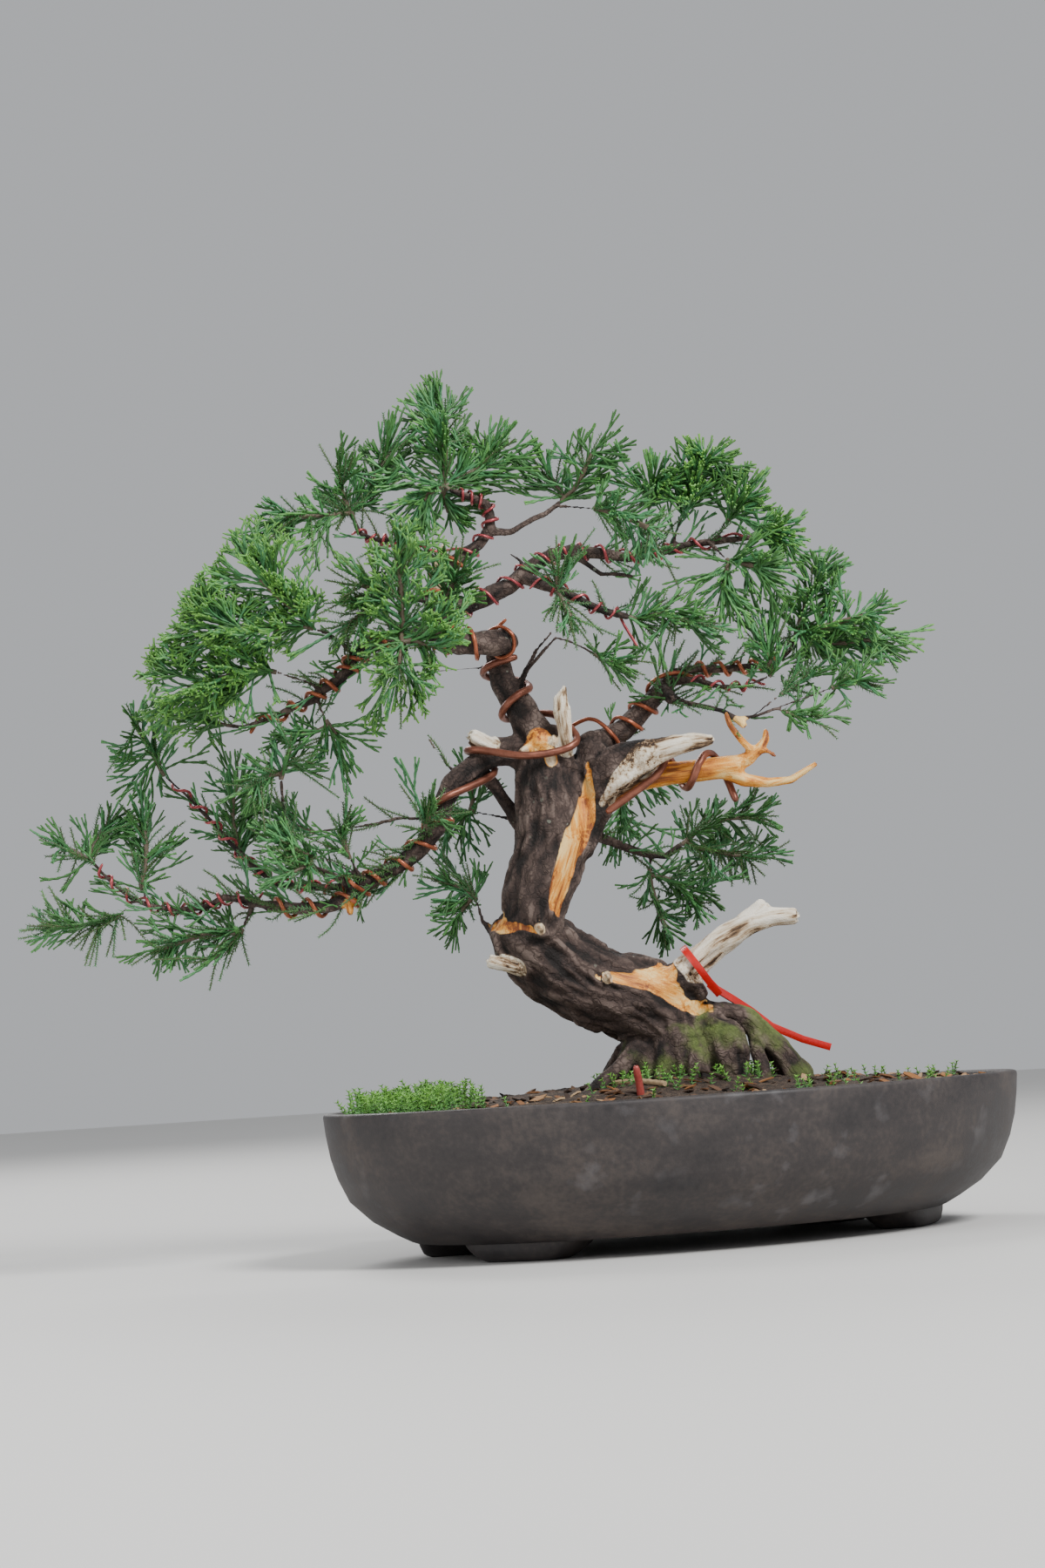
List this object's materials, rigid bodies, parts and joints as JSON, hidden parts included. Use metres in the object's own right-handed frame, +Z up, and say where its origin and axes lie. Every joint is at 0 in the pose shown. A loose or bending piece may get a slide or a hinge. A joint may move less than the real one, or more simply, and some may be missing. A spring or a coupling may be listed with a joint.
{
  "type": "san jose juniper bonsai",
  "caption": "Informal upright juniper bonsai with wired branches, grey deadwood and peeled jins, planted in a shallow oval clay pot on feet.",
  "frame": {"origin": "centre of the bounding box in plan, at the level of the surface that the pot's feet stand on", "axes": "+Z up, +X along the longest extent to the right as seen from the tree's front, +Y away from the viewer at the front"},
  "size_m": [0.5644, 0.3292, 0.5039],
  "materials": {
    "wood": "rough, flaking bark with grey deadwood and peeled orange wood",
    "foliage": "dull green scale and needle leaves",
    "thick_wire": "anodised dark copper colour, satin",
    "middle_wire": "anodised copper colour, satin",
    "thin_wire": "anodised reddish copper colour, satin",
    "tie": "red nylon",
    "anchor": "anodised, satin",
    "clay": "unglazed dark clay, matt",
    "soil": "loose granular soil with bark chips",
    "screen": "black plastic mesh"
  },
  "bodies": {
    "root": {"anchor_wire": "anchor", "cable_tie": "tie", "drainage_screen_left": "screen", "drainage_screen_right": "screen", "pot": "clay", "soil": "soil", "spray_apex": "foliage", "spray_apex_right": "foliage", "spray_branch_a": "foliage", "spray_branch_a_middle": "foliage", "spray_branch_b": "foliage", "spray_branch_b_low": "foliage", "spray_centre": "foliage", "spray_crossing_end": "foliage", "spray_drooping": "foliage", "spray_fan_high": "foliage", "spray_fan_low": "foliage", "spray_fan_low_right": "foliage", "spray_front": "foliage", "spray_front_high": "foliage", "spray_front_right": "foliage", "spray_leader": "foliage", "spray_left_crown": "foliage", "spray_left_hanging": "foliage", "spray_left_needles": "foliage", "spray_left_point": "foliage", "spray_left_rising": "foliage", "spray_left_tip": "foliage", "spray_low_hanging": "foliage", "spray_middle_top": "foliage", "spray_rear_hanging": "foliage", "spray_rear_left_high": "foliage", "spray_rear_left_low": "foliage", "spray_rear_right": "foliage", "spray_rear_whips": "foliage", "spray_right_high": "foliage", "spray_right_inner": "foliage", "spray_right_low": "foliage", "spray_right_middle": "foliage", "spray_right_outer": "foliage", "spray_third_right": "foliage", "spray_top_fan": "foliage", "spray_top_middle": "foliage", "spray_tuft": "foliage", "spray_upper_left": "foliage", "spray_upper_twig": "foliage", "wire_apex": "thin_wire", "wire_knot": "middle_wire", "wire_leader_bend": "middle_wire", "wire_left_branch": "middle_wire", "wire_left_end": "thin_wire", "wire_left_high": "thin_wire", "wire_middle_left": "middle_wire", "wire_right_branch": "middle_wire", "wire_right_middle": "thin_wire", "wire_thick_jin": "thick_wire", "wire_thick_trunk": "thick_wire", "wire_third_right": "thin_wire", "wire_top_right": "thin_wire", "wood": "wood"}
  },
  "joints": []
}
